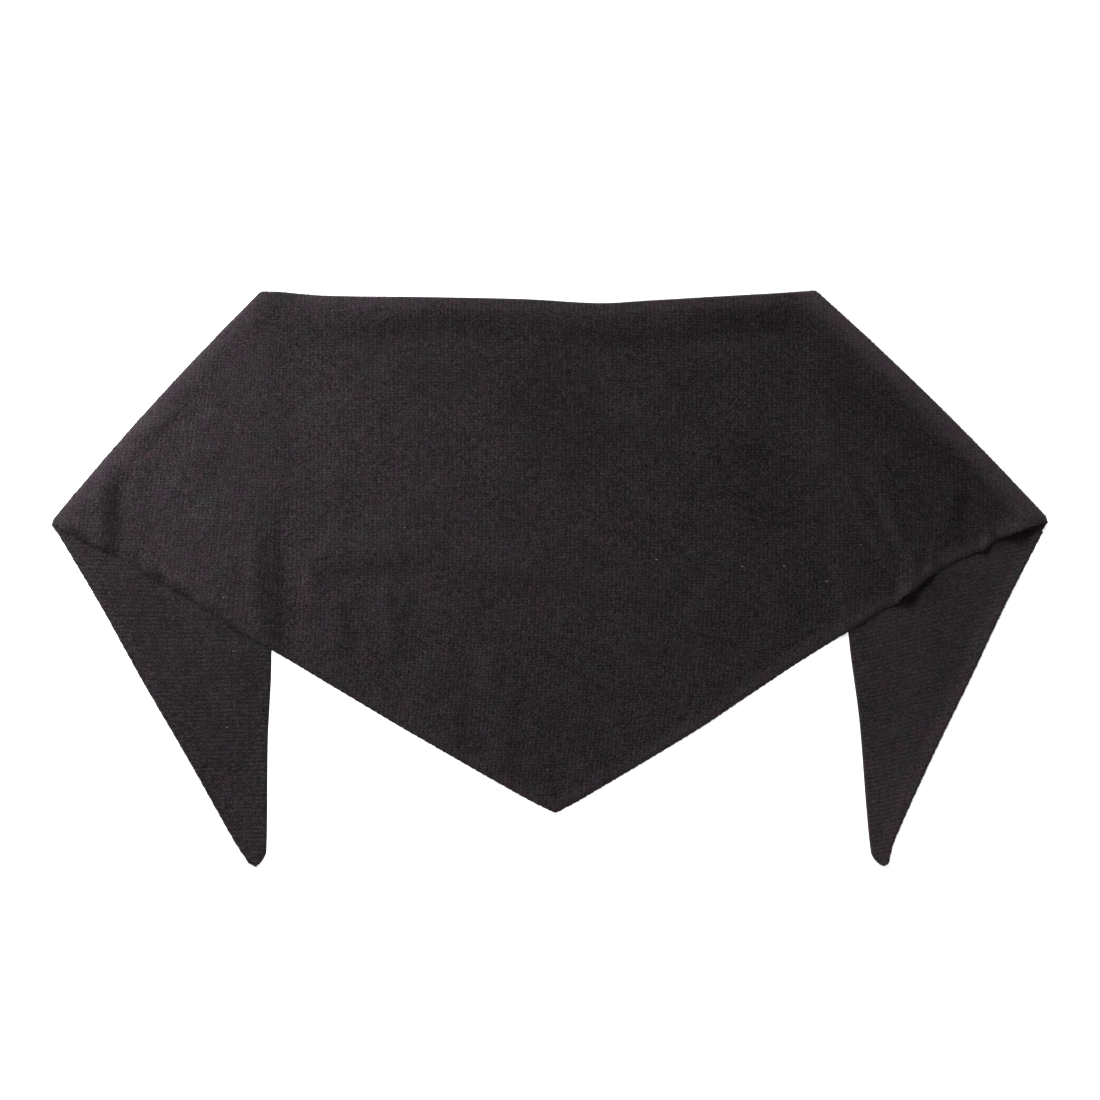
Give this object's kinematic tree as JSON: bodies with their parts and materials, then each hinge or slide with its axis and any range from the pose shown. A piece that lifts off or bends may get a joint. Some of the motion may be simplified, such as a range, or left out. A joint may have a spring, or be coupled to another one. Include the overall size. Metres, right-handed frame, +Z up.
{
  "type": "triangle scarf",
  "caption": "Soft knitted triangle scarf, laid flat with both long ends folded under along slanting rolled folds, narrow ribbed border on the long edge.",
  "frame": {"origin": "middle of the footprint, on the surface that the scarf lies on", "axes": "+X to the right along the long edge, +Y towards the long edge, +Z up"},
  "size_m": [0.7934, 0.461, 0.012],
  "materials": {
    "knit_face": "plain knit, face side, brushed, soft matt black",
    "knit_reverse": "plain knit, reverse side, brushed, soft matt black",
    "rib_border": "narrow ribbed border, brushed, soft matt black"
  },
  "bodies": {
    "root": {"front_panel": "knit_face", "top_border": "rib_border", "left_tail": "knit_reverse", "left_tail_border": "rib_border", "right_tail": "knit_reverse", "right_tail_border": "rib_border"}
  },
  "joints": []
}
